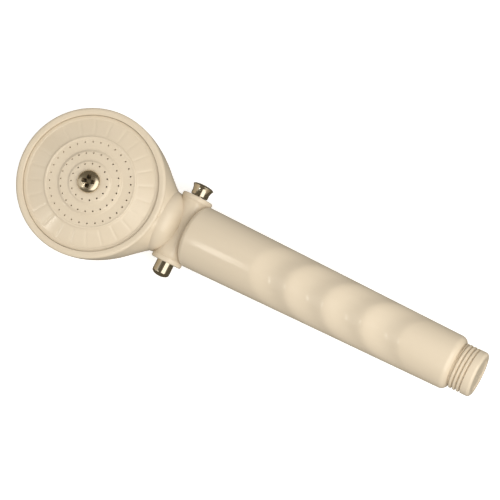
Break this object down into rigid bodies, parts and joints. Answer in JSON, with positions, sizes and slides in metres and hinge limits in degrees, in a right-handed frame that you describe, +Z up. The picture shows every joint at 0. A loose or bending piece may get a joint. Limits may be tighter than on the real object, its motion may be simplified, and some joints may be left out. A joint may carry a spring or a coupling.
{
  "type": "handheld shower head",
  "caption": "Hand shower with a round domed spray face, a push-through shut-off valve across its neck, and a grip handle with a male hose thread.",
  "frame": {"origin": "centre of the bounding box's footprint, on the surface that the shower head's back rests on", "axes": "+X along the handle from the head to the hose thread, +Y along the valve spool towards its flared knob, +Z up through the front of the grip and the spray face"},
  "size_m": [0.2296, 0.07, 0.0477],
  "materials": {
    "almond_abs": "glossy injection-moulded ABS in almond",
    "nickel_plate": "bright nickel-chrome plate on brass",
    "brass_insert": "turned brass",
    "black_rubber": "moulded rubber seal",
    "white_acetal": "moulded acetal"
  },
  "bodies": {
    "housing": {"head_shell": "almond_abs", "spray_plate": "almond_abs", "valve_body": "almond_abs", "barrel_cap_knob_side": "almond_abs", "barrel_cap_button_side": "almond_abs", "handle_shell": "almond_abs", "inlet_screen": "almond_abs", "face_screw": "nickel_plate", "screw_insert": "brass_insert", "face_gasket": "black_rubber", "screw_washer": "black_rubber", "neck_seal_head": "black_rubber", "neck_seal_handle": "black_rubber", "restrictor_seal": "black_rubber", "flow_restrictor": "white_acetal"},
    "spool": {"valve_spool": "nickel_plate", "spool_knob": "nickel_plate", "spool_seal_inlet": "black_rubber", "spool_seal_seat": "black_rubber", "spool_seal_outlet": "black_rubber"}
  },
  "joints": [
    {"name": "spool_slide", "type": "slide", "parent": "housing", "child": "spool", "axis": [0, 1, 0], "range_m": [-0.0025, 0.0025]}
  ]
}
